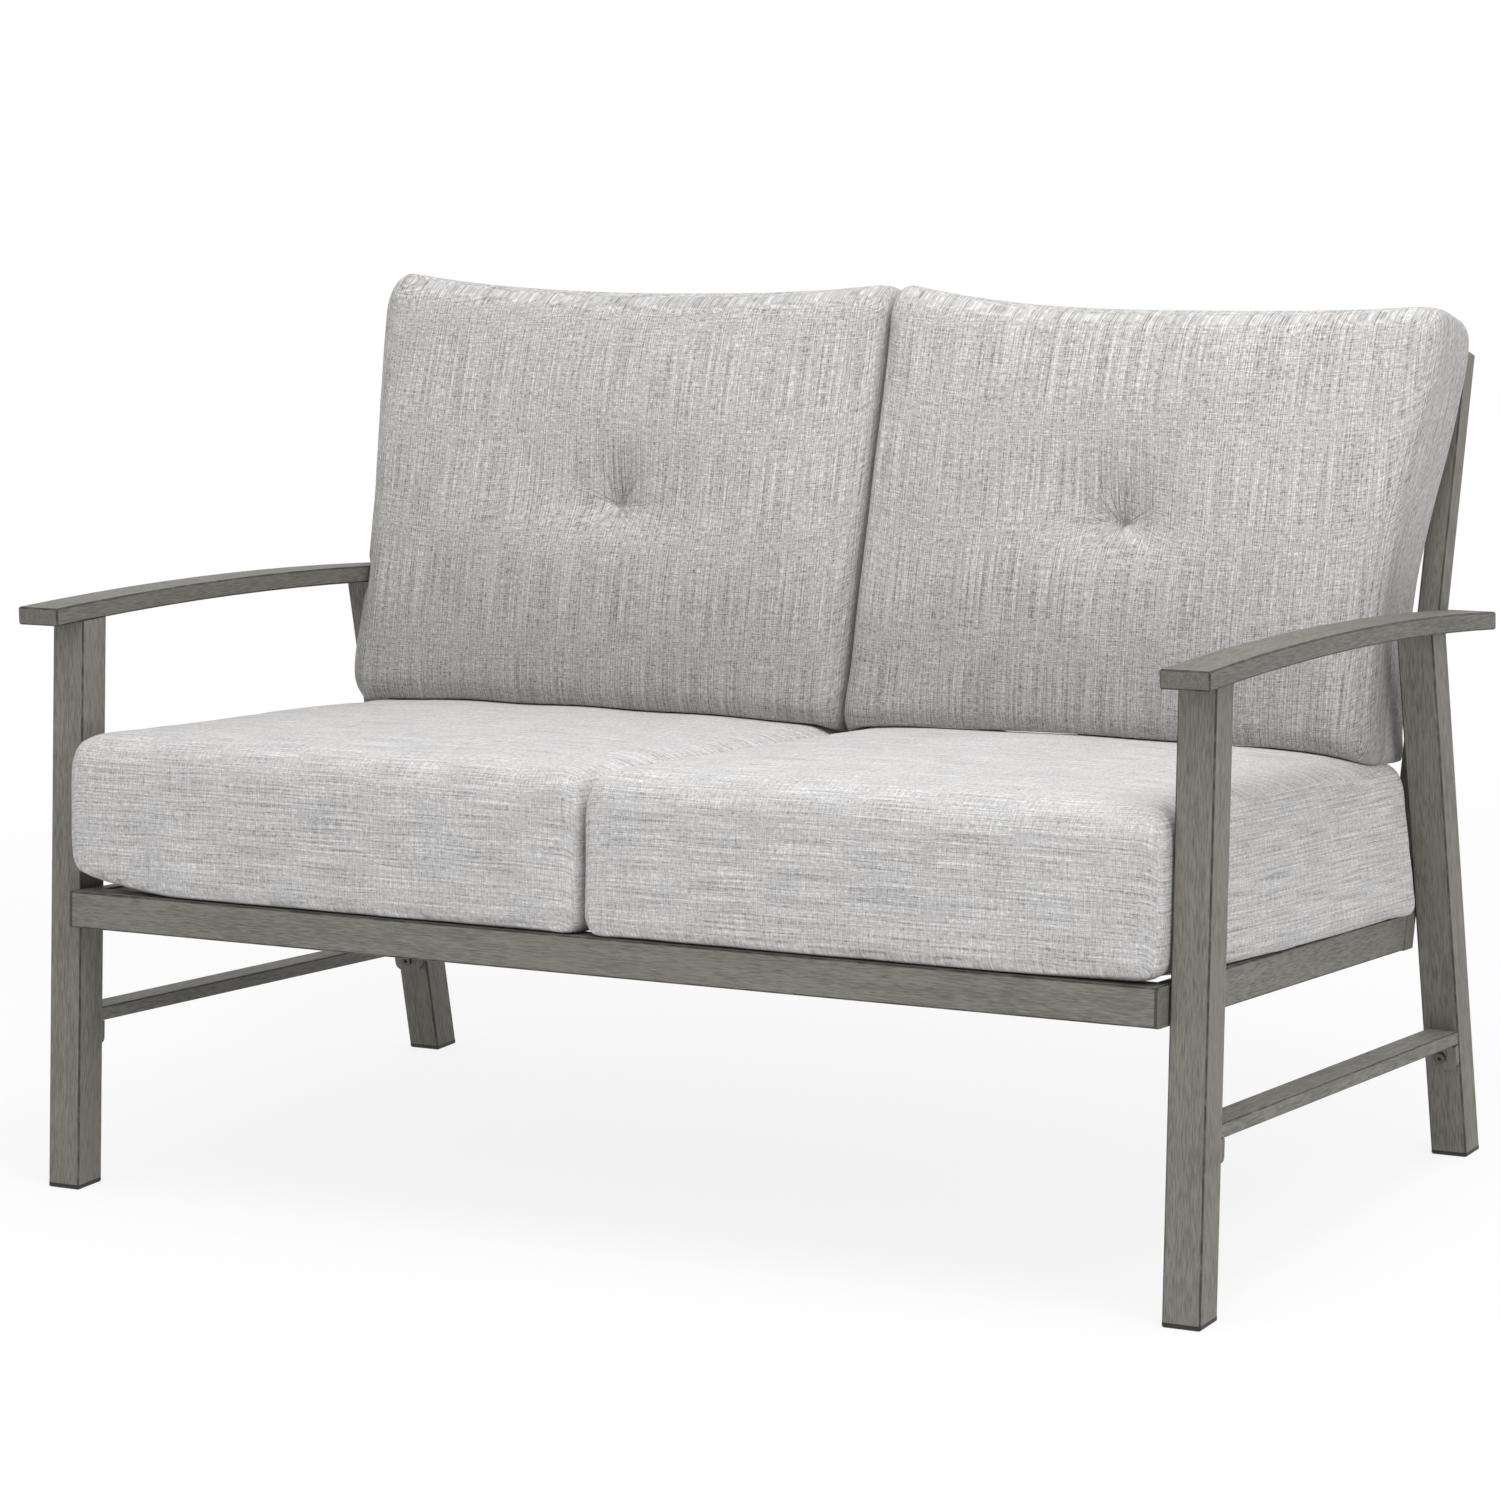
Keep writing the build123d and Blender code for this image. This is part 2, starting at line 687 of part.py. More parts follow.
# They rest where their front comes down on the seat cushions' crown
pad_reach = (pad_front + pad_back_crown + cushion_clearance) / cos(back_angle)
toe_y, toe_z = crossing(lambda z: post_y(z) - pad_reach, lambda y: deck_z(y) + seat_thickness + seat_crown)
toe_run = (toe_y - seat_origin[0]) * cos(deck_angle) - (toe_z - seat_origin[1]) * sin(deck_angle)
toe_rise = seat_thickness + seat_crown * cushion_swell(toe_run, seat_length)
rest_point = deck_point(0, toe_rise + 2 * cushion_clearance)
rest_plane = Plane(origin=(0, *rest_point), x_dir=(1, 0, 0), z_dir=seat_up)
for side, sign in sides.items():
    with BuildPart() as back_cushion:
        for distance, inset in cushion_stations(pad_height, pad_edge):
            swell = cushion_swell(distance, pad_height)
            flare = pad_top_flare / 2 * (distance / pad_height) ** 3
            place = Vector(sign * (cushion_x + flare), 0, 0) + pad_foot + pad_up * distance
            with BuildSketch(Plane(origin=place, x_dir=(-1, 0, 0), z_dir=pad_up)):
                with BuildLine():
                    cushion_outline(
                        cushion_room / 2 - pad_bulge - inset - pad_draw * swell + flare,
                        inset * pad_back_edge / pad_edge, pad_thickness - inset,
                        pad_edge, pad_back_edge,
                        pad_crown * swell, pad_back_crown * swell, pad_bulge,
                    )
                make_face()
        loft(ruled=True)
        split(bisect_by=rest_plane, keep=Keep.TOP)

        # Sagging top edge between the two corners
        top_place = Vector(sign * cushion_x, 0, 0) + pad_foot + pad_up * pad_height
        with BuildSketch(Plane(origin=top_place, x_dir=(1, 0, 0), z_dir=pad_out).offset(-overrun)):
            with BuildLine():
                ThreePointArc((-cushion_room / 2, 0), (0, -pad_top_sag), (cushion_room / 2, 0))
                Polyline(
                    (cushion_room / 2, 0), (cushion_room / 2, overrun), (-cushion_room / 2, overrun),
                    (-cushion_room / 2, 0),
                )
            make_face()
        extrude(amount=pad_front + 2 * overrun, mode=Mode.SUBTRACT)

        # Sewn tuft: a pinched throat that opens in ever flatter slopes, as cloth drawn to a stitch does
        tuft_place = Vector(sign * cushion_x, 0, 0) + pad_foot + pad_up * tuft_height
        with BuildSketch(Plane(origin=tuft_place, x_dir=(1, 0, 0), z_dir=pad_up * -1)):
            with BuildLine():
                slope = [
                    (tuft_radius * reach, pad_front - tuft_depth * fall)
                    for reach, fall in zip(tuft_reach_shares, tuft_fall_shares)
                ]
                Polyline(
                    *slope, (tuft_radius, pad_front + overrun), (0, pad_front + overrun), slope[0],
                )
            make_face()
        revolve(axis=Axis(tuft_place, pad_out), mode=Mode.SUBTRACT)
    export(back_cushion.part, f"back_cushion_{side}")
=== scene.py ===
import math

import bpy
import numpy as np
from mathutils import Matrix, Vector


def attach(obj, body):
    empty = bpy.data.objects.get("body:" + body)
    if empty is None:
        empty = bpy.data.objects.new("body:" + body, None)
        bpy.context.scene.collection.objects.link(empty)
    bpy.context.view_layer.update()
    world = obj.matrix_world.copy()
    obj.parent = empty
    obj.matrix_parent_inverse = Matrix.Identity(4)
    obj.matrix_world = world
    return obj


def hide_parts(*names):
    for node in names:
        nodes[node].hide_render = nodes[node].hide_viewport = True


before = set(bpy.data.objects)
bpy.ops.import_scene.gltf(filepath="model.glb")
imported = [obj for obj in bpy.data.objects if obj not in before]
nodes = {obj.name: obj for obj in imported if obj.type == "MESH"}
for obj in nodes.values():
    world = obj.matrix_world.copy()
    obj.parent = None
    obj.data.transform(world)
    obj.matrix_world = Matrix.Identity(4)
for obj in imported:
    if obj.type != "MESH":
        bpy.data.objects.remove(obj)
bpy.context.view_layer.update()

scene = bpy.context.scene


seatSlope = math.radians(4.4)
backLean = math.radians(17.26)
frontY = -0.42952          # front face of the front feet
railTop = 0.325            # top of the front rail at its front edge
railSetback = 0.006        # front rail behind the front feet
postFrontY = 0.740         # front of the posts, behind the front feet, at postFrontZ
postFrontZ = 0.560


def deckPoint(run, rise):
    # a run back along the seat frame and a rise square to it, from the front rail's top edge
    y = frontY + railSetback + run * math.cos(seatSlope) + rise * math.sin(seatSlope)
    z = railTop - run * math.sin(seatSlope) + rise * math.cos(seatSlope)
    return np.array([0.0, y, z])


def postPoint(z):
    # front of the posts at height z
    return np.array([0.0, frontY + postFrontY + math.tan(backLean) * (z - postFrontZ), z])


def srgb(r, g, b):
    # screen colour in 0 to 255, as linear light
    c = np.array([r, g, b]) / 255
    c = np.where(c <= 0.04045, c / 12.92, ((c + 0.055) / 1.055) ** 2.4)
    return (float(c[0]), float(c[1]), float(c[2]), 1.0)


camera = {
    "place": (2.3886, -4.3915, 1.2752),
    "yaw": 28.862,
    "pitch": -8.695,
    "roll": -1.343,
    "lens": 113.645,
    "shift": (-0.0005, -0.0387),
}


def makeCamera(cfg):
    yaw, pitch, roll = (math.radians(cfg[k]) for k in ("yaw", "pitch", "roll"))
    forward = Vector((-math.sin(yaw) * math.cos(pitch), math.cos(yaw) * math.cos(pitch), math.sin(pitch)))
    level = Vector((math.cos(yaw), math.sin(yaw), 0))
    upright = level.cross(forward)
    right = level * math.cos(roll) + upright * math.sin(roll)
    up = upright * math.cos(roll) - level * math.sin(roll)
    data = bpy.data.cameras.new("photoCamera")
    data.sensor_width = 36
    data.lens = cfg["lens"]
    data.shift_x, data.shift_y = cfg["shift"]
    data.clip_end = 60
    obj = bpy.data.objects.new("photoCamera", data)
    scene.collection.objects.link(obj)
    turn = Matrix((right, up, -forward)).transposed().to_4x4()
    obj.matrix_world = Matrix.Translation(cfg["place"]) @ turn
    scene.camera = obj


makeCamera(camera)
print("camera made")


def addNode(tree, kind, inputs=None, **settings):
    # an input is a value or the socket that feeds it
    node = tree.nodes.new(kind)
    for key, value in settings.items():
        setattr(node, key, value)
    for key, value in (inputs or {}).items():
        if isinstance(value, bpy.types.NodeSocket):
            tree.links.new(value, node.inputs[key])
        else:
            node.inputs[key].default_value = value
    return node


def startGroup(name, inputs, outputs):
    # inputs and outputs are lists of (name, socket type, default)
    tree = bpy.data.node_groups.new(name, "ShaderNodeTree")
    for label, kind, value in inputs:
        socket = tree.interface.new_socket(name=label, in_out="INPUT", socket_type=kind)
        if value is not None:
            socket.default_value = value
    for label, kind in outputs:
        tree.interface.new_socket(name=label, in_out="OUTPUT", socket_type=kind)
    return tree, tree.nodes.new("NodeGroupInput"), tree.nodes.new("NodeGroupOutput")


def math2(tree, operation, a, b=0.0, clamp=False):
    return addNode(tree, "ShaderNodeMath", {0: a, 1: b}, operation=operation, use_clamp=clamp).outputs[0]


def mapRange(tree, value, low, high, toLow=0.0, toHigh=1.0):
    inputs = {"Value": value, "From Min": low, "From Max": high, "To Min": toLow, "To Max": toHigh}
    return addNode(tree, "ShaderNodeMapRange", inputs, interpolation_type="SMOOTHSTEP").outputs[0]


def mixColor(tree, factor, a, b, blend="MIX"):
    node = addNode(tree, "ShaderNodeMix", {0: factor, 6: a, 7: b}, data_type="RGBA", blend_type=blend)
    return node.outputs[2]


def scaledNoise(tree, point, scale, detail=2.0, roughness=0.5):
    # noise on a point whose three directions are stretched by scale, in features per metre
    stretched = addNode(tree, "ShaderNodeVectorMath", {0: point, 1: scale}, operation="MULTIPLY")
    inputs = {"Vector": stretched.outputs[0], "Scale": 1.0, "Detail": detail, "Roughness": roughness}
    return addNode(tree, "ShaderNodeTexNoise", inputs).outputs[0]


def makeGlazeGroup():
    # rounded edges: 1 minus the largest share of the normal along the member's own three axes
    tree, given, put = startGroup(
        "edgeGlaze",
        [
            ("Normal", "NodeSocketVector", None), ("Point", "NodeSocketVector", None),
            ("Lean", "NodeSocketFloat", 0.0),
        ],
        [("Mask", "NodeSocketFloat")],
    )
    turned = addNode(
        tree, "ShaderNodeVectorRotate", {"Vector": given.outputs["Normal"], "Angle": given.outputs["Lean"]},
        rotation_type="X_AXIS",
    )
    split = addNode(tree, "ShaderNodeSeparateXYZ", {0: turned.outputs[0]})
    sizes = [math2(tree, "ABSOLUTE", split.outputs[i]) for i in range(3)]
    largest = math2(tree, "MAXIMUM", math2(tree, "MAXIMUM", sizes[0], sizes[1]), sizes[2])
    edge = mapRange(tree, math2(tree, "SUBTRACT", 1.0, largest), 0.012, 0.13)
    worn = mapRange(tree, scaledNoise(tree, given.outputs["Point"], (60, 60, 60), 3), 0.3, 0.6, 0.55, 1.0)
    tree.links.new(math2(tree, "MULTIPLY", edge, worn), put.inputs["Mask"])
    return tree


def makeGrainGroup():
    # painted wood look: fine short hairs and a faint broad figure along the member, clouds and sparse pores
    tree, given, put = startGroup(
        "brushedGrain",
        [
            ("Point", "NodeSocketVector", None), ("Lean", "NodeSocketFloat", 0.0),
            ("Fine", "NodeSocketVector", (500, 500, 14)), ("Broad", "NodeSocketVector", (90, 90, 5)),
            ("Base", "NodeSocketColor", (0.2, 0.2, 0.18, 1)), ("Dark", "NodeSocketColor", (0.1, 0.1, 0.09, 1)),
            ("Warm", "NodeSocketColor", (0.25, 0.2, 0.16, 1)),
        ],
        [("Color", "NodeSocketColor"), ("Height", "NodeSocketFloat"), ("Roughness", "NodeSocketFloat")],
    )
    turned = addNode(
        tree, "ShaderNodeVectorRotate", {"Vector": given.outputs["Point"], "Angle": given.outputs["Lean"]},
        rotation_type="X_AXIS",
    ).outputs[0]
    fine = scaledNoise(tree, turned, given.outputs["Fine"], 3, 0.55)
    broad = scaledNoise(tree, turned, given.outputs["Broad"], 3, 0.55)
    cloud = scaledNoise(tree, turned, (14, 14, 14), 3, 0.6)
    streak = math2(tree, "ADD", math2(tree, "MULTIPLY", fine, 0.62), math2(tree, "MULTIPLY", broad, 0.2))
    streak = math2(tree, "ADD", streak, math2(tree, "MULTIPLY", cloud, 0.18))
    shade = mapRange(tree, streak, 0.38, 0.6)
    pores = mapRange(tree, fine, 0.36, 0.26)
    color = mixColor(tree, shade, given.outputs["Dark"], given.outputs["Base"])
    color = mixColor(tree, mapRange(tree, cloud, 0.5, 0.72, 0.0, 0.45), color, given.outputs["Warm"])
    color = mixColor(tree, math2(tree, "MULTIPLY", pores, 0.6), color, srgb(66, 62, 56))
    tree.links.new(color, put.inputs["Color"])
    tree.links.new(streak, put.inputs["Height"])
    tree.links.new(mapRange(tree, streak, 0.3, 0.7, 0.66, 0.54), put.inputs["Roughness"])
    return tree


def makeWeaveGroup():
    # canvas of short threads both ways with long light or dark streaks along u, in metres of cloth
    tree, given, put = startGroup(
        "slubWeave",
        [
            ("Cloth", "NodeSocketVector", None), ("Contrast", "NodeSocketFloat", 1.0),
            ("Streak", "NodeSocketVector", (16, 600, 1)), ("Streak Share", "NodeSocketFloat", 0.3),
            ("Dark", "NodeSocketColor", (0.3, 0.3, 0.3, 1)),
            ("Base", "NodeSocketColor", (0.55, 0.55, 0.54, 1)),
            ("Light", "NodeSocketColor", (0.8, 0.8, 0.79, 1)),
            ("Warm", "NodeSocketColor", (0.9, 0.87, 0.87, 1)),
            ("Cool", "NodeSocketColor", (0.88, 0.9, 0.9, 1)),
        ],
        [("Color", "NodeSocketColor"), ("Height", "NodeSocketFloat")],
    )
    cloth = given.outputs["Cloth"]
    warp = scaledNoise(tree, cloth, (150, 820, 1), 2, 0.5)
    weft = scaledNoise(tree, cloth, (820, 150, 1), 2, 0.5)
    streak = scaledNoise(tree, cloth, given.outputs["Streak"], 2, 0.55)
    crossing = scaledNoise(tree, cloth, (620, 24, 1), 1, 0.5)
    speck = scaledNoise(tree, cloth, (900, 900, 1), 1, 0.5)
    long = given.outputs["Streak Share"]
    total = 0.0
    for value, share in ((warp, 0.28), (weft, 0.28), (streak, long), (crossing, 0.16), (speck, 0.18)):
        centred = math2(tree, "SUBTRACT", value, 0.5)
        total = math2(tree, "ADD", total, math2(tree, "MULTIPLY", centred, share))
    level = math2(tree, "ADD", math2(tree, "MULTIPLY", total, given.outputs["Contrast"]), 0.5)
    color = mixColor(tree, mapRange(tree, level, 0.34, 0.5), given.outputs["Dark"], given.outputs["Base"])
    color = mixColor(tree, mapRange(tree, level, 0.5, 0.66), color, given.outputs["Light"])
    patch = scaledNoise(tree, cloth, (14, 20, 1), 1)
    color = mixColor(tree, mapRange(tree, patch, 0.5, 0.66), color, given.outputs["Warm"], "MULTIPLY")
    color = mixColor(tree, mapRange(tree, patch, 0.46, 0.34), color, given.outputs["Cool"], "MULTIPLY")
    tree.links.new(color, put.inputs["Color"])
    tree.links.new(level, put.inputs["Height"])
    return tree


glazeGroup = makeGlazeGroup()
grainGroup = makeGrainGroup()
weaveGroup = makeWeaveGroup()


def startMaterial(name):
    material = bpy.data.materials.new(name)
    material.use_nodes = True
    tree = material.node_tree
    shader = tree.nodes["Principled BSDF"]
    return material, tree, shader


def useGroup(tree, group, inputs):
    return addNode(tree, "ShaderNodeGroup", inputs, node_tree=group)


paint = {
    "base": srgb(130, 128, 119),
    "dark": srgb(102, 99, 91),
    "warm": srgb(118, 110, 99),
    "glaze": srgb(46, 43, 37),
    "fine": 760,       # grain features a metre, across the member
    "fineAlong": 60,
    "broad": 110,
    "broadAlong": 9,
    "bump": 0.00010,
}
# painted shade: the same frame paint made darker for the armrests, whose tops face the top lamp
armPaintShaded = {**paint, "base": srgb(116, 114, 106), "dark": srgb(93, 90, 83), "warm": srgb(106, 99, 90)}
railSeam = (0.6262, 0.0046)    # where the front rail meets its caps: distance from the middle, and width


def stretchAlong(axis, across, along):
    return tuple(along if i == axis else across for i in range(3))


def paintMaterial(name, lean, axis, cfg=paint, seam=None):
    # lean turns the member onto the row's axes, axis is the one its grain follows, and a seam is a dark line
    material, tree, shader = startMaterial(name)
    place = addNode(tree, "ShaderNodeTexCoord")
    angle = math.radians(lean)
    grain = useGroup(tree, grainGroup, {
        "Point": place.outputs["Object"], "Lean": angle,
        "Fine": stretchAlong(axis, cfg["fine"], cfg["fineAlong"]),
        "Broad": stretchAlong(axis, cfg["broad"], cfg["broadAlong"]),
        "Base": cfg["base"], "Dark": cfg["dark"], "Warm": cfg["warm"],
    })
    edge = useGroup(tree, glazeGroup, {
        "Normal": place.outputs["Normal"], "Point": place.outputs["Object"], "Lean": angle,
    })
    color = mixColor(tree, edge.outputs["Mask"], grain.outputs["Color"], cfg["glaze"])
    if seam:
        out = addNode(tree, "ShaderNodeSeparateXYZ", {0: place.outputs["Object"]}).outputs[0]
        away = math2(tree, "ABSOLUTE", math2(tree, "SUBTRACT", math2(tree, "ABSOLUTE", out), seam[0]))
        color = mixColor(tree, mapRange(tree, away, seam[1] / 2, seam[1] / 4, 0.0, 0.85), color, cfg["glaze"])
    bump = addNode(tree, "ShaderNodeBump", {"Height": grain.outputs["Height"], "Distance": cfg["bump"]})
    tree.links.new(color, shader.inputs["Base Color"])
    tree.links.new(grain.outputs["Roughness"], shader.inputs["Roughness"])
    tree.links.new(bump.outputs[0], shader.inputs["Normal"])
    return material


paintOf = {
    "front_leg": paintMaterial("frontLegPaint", 5.05, 2),
    "back_leg": paintMaterial("backLegPaint", -9.85, 2),
    "arm": paintMaterial("armPaintShaded", 3.3, 1, armPaintShaded),
    "stretcher": paintMaterial("stretcherPaint", 4.0, 1),
    "front_tab": paintMaterial("frontTabPaint", 5.05, 2),
    "back_tab": paintMaterial("backTabPaint", -9.85, 2),
    "side_rail": paintMaterial("sideRailPaint", 4.4, 1),
    "front_rail": paintMaterial("crossRailPaint", 4.4, 0, seam=railSeam),
    "back_post": paintMaterial("postPaint", 17.26, 2),
    "back_top_rail": paintMaterial("backRailPaint", 17.26, 0),
}
paintOf["front_rail_cap"] = paintOf["front_rail"]
paintOf["back_rail"] = paintOf["front_rail"]
paintOf["centre_beam"] = paintOf["side_rail"]
paintOf["seat_slats"] = paintOf["side_rail"]
paintOf["back_low_rail"] = paintOf["back_top_rail"]
paintOf["back_slats"] = paintOf["back_post"]


def plasticMaterial():
    material, tree, shader = startMaterial("glidePlastic")
    place = addNode(tree, "ShaderNodeTexCoord")
    mottle = scaledNoise(tree, place.outputs["Object"], (900, 900, 900), 2)
    color = mixColor(tree, mottle, srgb(20, 20, 20), srgb(40, 39, 38))
    bump = addNode(tree, "ShaderNodeBump", {"Height": mottle, "Distance": 0.0001})
    tree.links.new(color, shader.inputs["Base Color"])
    tree.links.new(bump.outputs[0], shader.inputs["Normal"])
    shader.inputs["Roughness"].default_value = 0.55
    return material


def steelMaterial(name, dark, light, rough):
    material, tree, shader = startMaterial(name)
    place = addNode(tree, "ShaderNodeTexCoord")
    mottle = scaledNoise(tree, place.outputs["Object"], (400, 400, 400), 3)
    tree.links.new(mixColor(tree, mottle, dark, light), shader.inputs["Base Color"])
    tree.links.new(mapRange(tree, mottle, 0.3, 0.7, rough - 0.08, rough + 0.08), shader.inputs["Roughness"])
    shader.inputs["Metallic"].default_value = 0.85
    return material


glidePlastic = plasticMaterial()
boltSteel = steelMaterial("boltSteel", srgb(70, 67, 62), srgb(104, 100, 92), 0.42)
washerSteel = steelMaterial("washerSteel", srgb(150, 150, 148), srgb(190, 190, 188), 0.35)


def dressNodes():
    for name, obj in nodes.items():
        stem = name[:-2] if name[-2:] in ("_l", "_r") else name
        if "glide" in stem:
            material = glidePlastic
        elif "washer" in stem:
            material = washerSteel
        elif "bolt" in stem:
            material = boltSteel
        else:
            material = paintOf.get(stem)
        if material is None:
            continue
        obj.data.materials.clear()
        obj.data.materials.append(material)


dressNodes()
print("frame painted")


seatCloth = {
    "dark": srgb(140, 139, 139), "base": srgb(198, 196, 195), "light": srgb(238, 237, 236),
    "warm": (0.97, 0.94, 0.955, 1), "cool": (0.955, 0.96, 0.975, 1), "contrast": 1.15,
    "streak": (11, 480, 1), "streakShare": 0.38, "bump": 0.0010,
}
# the back cushions' cloth is the seat's fabric in darker colours, as painted shade, with its own weave settings
backClothShaded = {
    "dark": srgb(124, 122, 121), "base": srgb(188, 186, 184), "light": srgb(232, 230, 228),
    "warm": (0.985, 0.960, 0.964, 1), "cool": (0.955, 0.966, 0.962, 1), "contrast": 1.32,
    "streak": (8, 640, 1), "streakShare": 0.34, "bump": 0.0010,
}


def clothMaterial(name, cfg, tuft=None):
    material, tree, shader = startMaterial(name)
    cloth = addNode(tree, "ShaderNodeUVMap", uv_map="cloth")
    weave = useGroup(tree, weaveGroup, {
        "Cloth": cloth.outputs[0], "Contrast": cfg["contrast"], "Streak": cfg["streak"],
        "Streak Share": cfg["streakShare"], "Dark": cfg["dark"], "Base": cfg["base"], "Light": cfg["light"],
        "Warm": cfg["warm"], "Cool": cfg["cool"],
    })
    color, height = weave.outputs["Color"], weave.outputs["Height"]
    if tuft:
        # painted shade: the cloth is darkened along the tuft's creases and in its slit, which are also sunk in
        # the bumps
        crease = tuftCreases(tree, tuft)
        color = mixColor(tree, math2(tree, "MULTIPLY", crease, tuft["shade"]), color, tuft["color"], "MULTIPLY")
        height = math2(tree, "SUBTRACT", height, math2(tree, "MULTIPLY", crease, tuft["depth"]))
        # painted shade: the cloth is darkened low down, towards where the cushion rests on the seat
        near = addNode(tree, "ShaderNodeUVMap", uv_map="tuft")
        up = addNode(tree, "ShaderNodeSeparateXYZ", {0: near.outputs[0]}).outputs[1]
        low = mapRange(tree, up, tuft["footHigh"], tuft["footLow"])
        foot = (tuft["foot"], tuft["foot"], tuft["foot"], 1)
        color = mixColor(tree, low, color, foot, "MULTIPLY")
    bump = addNode(tree, "ShaderNodeBump", {"Height": height, "Distance": cfg["bump"]})
    tree.links.new(color, shader.inputs["Base Color"])
    tree.links.new(bump.outputs[0], shader.inputs["Normal"])
    shader.inputs["Roughness"].default_value = 0.92
    shader.inputs["Specular IOR Level"].default_value = 0.2
    shader.inputs["Sheen Weight"].default_value = 0.1
    shader.inputs["Sheen Roughness"].default_value = 0.5
    return material


# painted shade in the tuft's creases and slit, with the creases' reach, count and bump depth
tuftShadeAndCreases = {"reach": 0.072, "count": 3.2, "shade": 0.42, "depth": 0.9, "color": srgb(140, 136, 134),
            # painted shade near the back cushion's foot: darkening from the first height down to the second, by
            # the last value
            "footHigh": 0.06, "footLow": -0.235, "foot": 0.75}


def tuftCreases(tree, cfg):
    # thin creases that fan from the tuft's centre, a noise over the angle that fades outwards, and a slit; the
    # mask is painted shade in the cloth's colour, and it also sinks the bumps there
    near = addNode(tree, "ShaderNodeUVMap", uv_map="tuft")
    split = addNode(tree, "ShaderNodeSeparateXYZ", {0: near.outputs[0]})
    across, up = split.outputs[0], split.outputs[1]
    reach = addNode(tree, "ShaderNodeVectorMath", {0: near.outputs[0]}, operation="LENGTH").outputs["Value"]
    turn = math2(tree, "ARCTAN2", across, math2(tree, "ADD", up, 0.004))
    fan = addNode(tree, "ShaderNodeCombineXYZ", {0: math2(tree, "MULTIPLY", turn, cfg["count"]),
                                                 1: math2(tree, "MULTIPLY", reach, 9.0), 2: 3.7})
    noise = addNode(tree, "ShaderNodeTexNoise", {"Vector": fan.outputs[0], "Scale": 1.0, "Detail": 2.0})
    line = mapRange(tree, math2(tree, "ABSOLUTE", math2(tree, "SUBTRACT", noise.outputs[0], 0.5)), 0.028, 0.0)
    # the painted crease shade is stronger above the tuft, where the fold overhangs
    above = mapRange(tree, up, -0.03, 0.01, 0.3, 1.0)
    fade = math2(tree, "MULTIPLY", mapRange(tree, reach, cfg["reach"], 0.012), above)
    slitWide = mapRange(tree, math2(tree, "ABSOLUTE", across), 0.010, 0.0)
    slitHigh = mapRange(tree, math2(tree, "ABSOLUTE", up), 0.0045, 0.0)
    slit = math2(tree, "MULTIPLY", slitWide, slitHigh)
    return math2(tree, "ADD", math2(tree, "MULTIPLY", line, fade), slit, True)


seatMaterial = clothMaterial("seatCloth", seatCloth)
backMaterial = clothMaterial("backClothShaded", backClothShaded, tuftShadeAndCreases)


# A cushion is worked out in its own directions: x across, p and q in its side view.
# corners go under-front, under-back, top-back, top-front; edges go under, back, top, front
seatCushion = {
    "inner": 0.0008, "outer": 0.6292, "front": -0.004, "rear": 0.6475, "top": 0.1665,
    "outline": [(0.004, 0.0), (0.646, 0.0), (0.646, 0.166), (0.004, 0.166)],   # p back, q up
    "corner": [0.022, 0.026, 0.036, 0.033],
    "innerEdge": [0.012, 0.020, 0.026, 0.014],
    "outerEdge": [0.012, 0.016, 0.021, 0.018],
    "sink": 0.006,             # how much of the underside is pressed flat
    "crown": {3: 0.0085, 8: 0.0125},   # by seed
    "dent": {3: 0.002, 8: 0.008},      # where the back cushion's outer corner stands
    "lift": {3: 0.023, 8: 0.008},      # of the underside's outer front corner
    "lip": 0.003, "bulge": 0.019,      # of the outer side, in front of the leg and between the legs
    "slot": 0.0020, "notch": 0.003,    # of the underside, along its edges and at its inner front corner
    "belly": 0.0035, "frontWave": 0.0012, "topWave": 0.0014,
    "voxel": 0.0074, "start": 0.003, "cap": 0.006, "pressure": 4.0, "swell": 0.004,
}
# corners go back-under, front-under, front-top, back-top; edges go under, front, top, back
backCushion = {
    "inner": 0.0010, "outer": 0.6300, "rear": 0.0006, "deep": 0.141, "high": 0.511,
    "corner": [0.020, 0.052, 0.048, 0.036],
    "innerEdge": [0.010, 0.013, 0.020, 0.016],
    "outerEdge": [0.016, 0.036, 0.020, 0.040],
    "sink": 0.008, "crown": 0.025, "frontWave": 0.0022,
    "outerDrop": 0.003, "innerDrop": 0.009, "clear": 0.0009,   # of the underside, over the seat cushion's ends
    "voxel": 0.0068, "start": 0.003, "cap": 0.006, "pressure": 4.0, "swell": 0.005,
    "tuftHigh": 0.252, "tuftAcross": 0.311, "tuftDeep": 0.043,
    "tuftWide": 0.082, "tuftAbove": 0.066, "tuftBelow": 0.034,
    "creaseDeep": 0.0024,
    # direction in degrees, share of the depth and spread in degrees
    "creases": [(98, 1.0, 7), (112, 1.3, 6), (127, 1.0, 6), (80, 0.7, 7), (62, 0.6, 8), (150, 0.6, 8),
                (215, 0.5, 9), (246, 0.6, 8), (290, 0.7, 8), (326, 0.5, 9), (20, 0.4, 9)],
    "sideHeights": [0.00, 0.03, 0.06, 0.10, 0.16, 0.22, 0.30, 0.40, 0.47, 0.52],
    # the armrest's inner side, its height at the posts, its slope and half its thickness with clearance
    "armSide": 0.6293, "armHigh": 0.190, "armSlope": 0.246, "armHalf": 0.0145,
}
